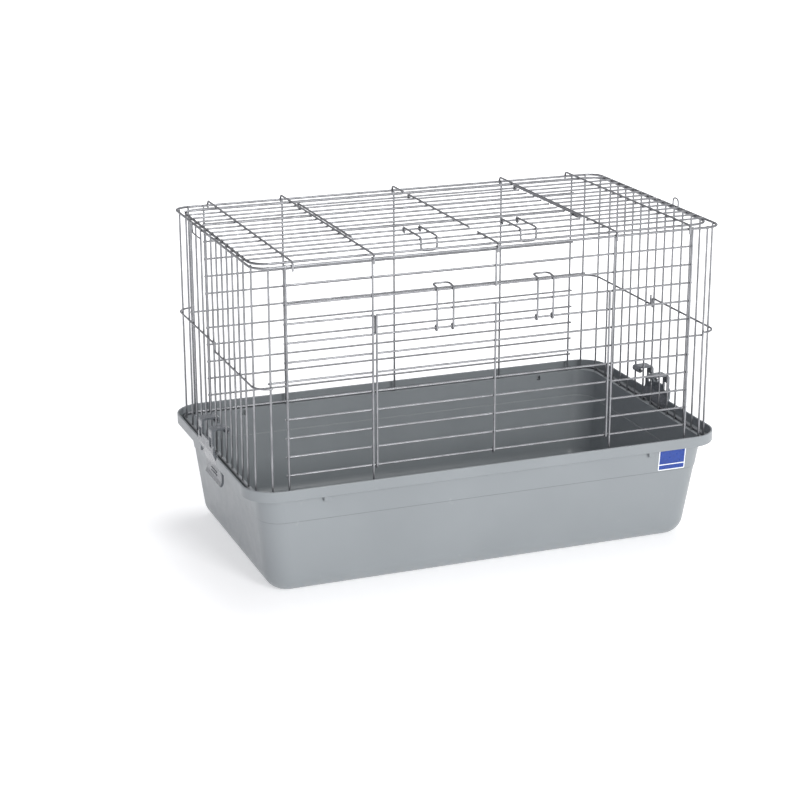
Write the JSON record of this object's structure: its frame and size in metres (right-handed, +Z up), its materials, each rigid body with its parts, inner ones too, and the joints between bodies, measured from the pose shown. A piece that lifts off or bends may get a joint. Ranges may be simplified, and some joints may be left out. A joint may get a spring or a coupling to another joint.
{
  "type": "wire rabbit cage",
  "caption": "Rectangular wire cage top with a front door and a top door, standing in the rim of a deep plastic tub and held by a clip at each end.",
  "frame": {"origin": "middle of the tub's underside, on the surface it stands on", "axes": "+X along the length to the right end, -Y towards the front door, +Z up"},
  "size_m": [0.6032, 0.3492, 0.4035],
  "materials": {
    "tub_plastic": "semi-gloss moulded grey plastic",
    "clip_plastic": "satin moulded grey plastic",
    "label_film": "blank blue film with a pale border",
    "wire_zinc": "bright zinc-plated drawn wire"
  },
  "bodies": {
    "tub": {"tub": "tub_plastic", "blank_label": "label_film"},
    "front_door": {"front_door_uprights": "wire_zinc", "front_door_bars": "wire_zinc"},
    "top_door": {"top_door_wires": "wire_zinc", "top_door_bars": "wire_zinc"},
    "left_clip": {"left_side_clip": "clip_plastic"},
    "right_clip": {"right_side_clip": "clip_plastic"},
    "front_left_latch": {"front_latch_left": "wire_zinc"},
    "front_right_latch": {"front_latch_right": "wire_zinc"},
    "top_left_latch": {"top_latch_left": "wire_zinc"},
    "top_right_latch": {"top_latch_right": "wire_zinc"},
    "wire_top": {"back_base_wire": "wire_zinc", "back_clip_rods": "wire_zinc", "back_cross_wires": "wire_zinc", "back_left_belt": "wire_zinc", "back_left_end_uprights": "wire_zinc", "back_right_belt": "wire_zinc", "back_right_end_uprights": "wire_zinc", "back_top_rail": "wire_zinc", "back_uprights": "wire_zinc", "front_base_wire": "wire_zinc", "front_clip_rods": "wire_zinc", "front_cross_wires": "wire_zinc", "front_left_belt": "wire_zinc", "front_left_end_uprights": "wire_zinc", "front_left_side_wires": "wire_zinc", "front_left_stop": "wire_zinc", "front_right_belt": "wire_zinc", "front_right_end_uprights": "wire_zinc", "front_right_side_wires": "wire_zinc", "front_right_stop": "wire_zinc", "front_top_rail": "wire_zinc", "front_uprights": "wire_zinc", "left_rail_loop": "wire_zinc", "right_rail_loop": "wire_zinc", "top_centre_stubs": "wire_zinc", "top_frame_wires": "wire_zinc", "top_left_stop": "wire_zinc", "top_left_wires": "wire_zinc", "top_long_wires": "wire_zinc", "top_right_stop": "wire_zinc", "top_right_wires": "wire_zinc", "top_ring": "wire_zinc", "top_tie_wires": "wire_zinc"}
  },
  "joints": [
    {"name": "wire_top_lift", "type": "slide", "parent": "tub", "child": "wire_top", "axis": [0, 0, 1], "range_m": [0, 0.25]},
    {"name": "front_door_hinge", "type": "hinge", "parent": "wire_top", "child": "front_door", "pos_m": [0, -0.16105, 0.15055], "axis": [1, 0, 0], "range_deg": [0, 115]},
    {"name": "top_door_hinge", "type": "hinge", "parent": "wire_top", "child": "top_door", "pos_m": [0, 0.11055, 0.3959], "axis": [-1, 0, 0], "range_deg": [0, 120]},
    {"name": "front_left_latch_hinge", "type": "hinge", "parent": "front_door", "child": "front_left_latch", "pos_m": [-0.062, -0.1613, 0.30493], "axis": [1, 0, 0], "range_deg": [0, 150]},
    {"name": "front_right_latch_hinge", "type": "hinge", "parent": "front_door", "child": "front_right_latch", "pos_m": [0.062, -0.1613, 0.30493], "axis": [1, 0, 0], "range_deg": [0, 150]},
    {"name": "top_left_latch_hinge", "type": "hinge", "parent": "top_door", "child": "top_left_latch", "pos_m": [-0.062, -0.05942, 0.39615], "axis": [-1, 0, 0], "range_deg": [0, 150]},
    {"name": "top_right_latch_hinge", "type": "hinge", "parent": "top_door", "child": "top_right_latch", "pos_m": [0.062, -0.05942, 0.39615], "axis": [-1, 0, 0], "range_deg": [0, 150]},
    {"name": "left_clip_hinge", "type": "hinge", "parent": "wire_top", "child": "left_clip", "pos_m": [-0.28208, 0, 0.166], "axis": [0, 1, 0], "range_deg": [0, 70]},
    {"name": "right_clip_hinge", "type": "hinge", "parent": "wire_top", "child": "right_clip", "pos_m": [0.28208, 0, 0.166], "axis": [0, -1, 0], "range_deg": [0, 70]}
  ]
}
